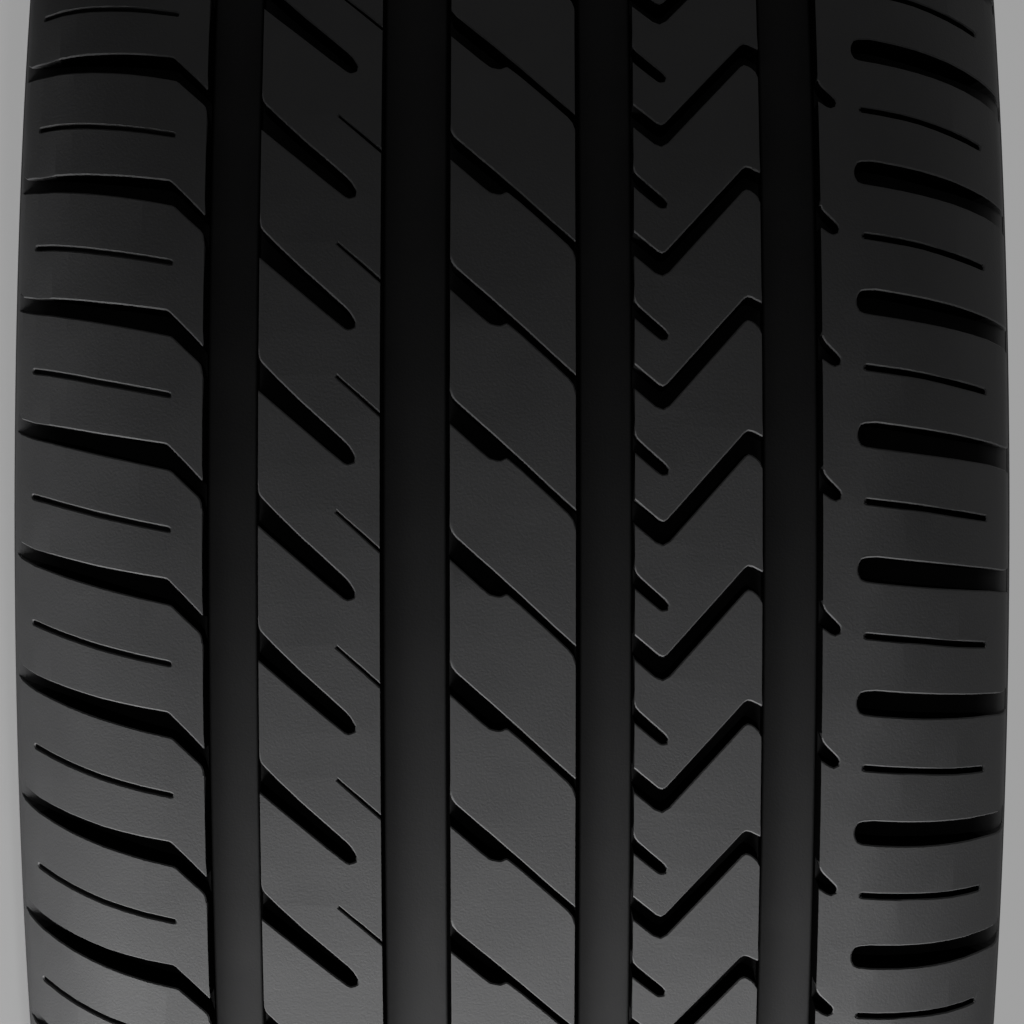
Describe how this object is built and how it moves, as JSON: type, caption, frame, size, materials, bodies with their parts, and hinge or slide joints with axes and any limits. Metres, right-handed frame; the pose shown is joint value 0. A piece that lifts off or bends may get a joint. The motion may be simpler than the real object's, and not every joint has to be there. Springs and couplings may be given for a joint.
{
  "type": "car tyre",
  "caption": "Low-profile road tyre for a passenger car, with straight main grooves, slanted tread slots, grooved shoulders, plain sidewalls and a bore that seats on a wheel rim.",
  "frame": {"origin": "centre of the tyre, on its spin axis halfway between the two sidewalls", "axes": "+Z along the spin axis, towards the sidewall on the side of the zigzag slots; X and Y in the plane of the wheel; the tyre lies on its lower sidewall"},
  "size_m": [0.6454, 0.6454, 0.236],
  "materials": {
    "tread_rubber": "matt"
  },
  "bodies": {
    "root": {"tyre": "tread_rubber"}
  },
  "joints": []
}
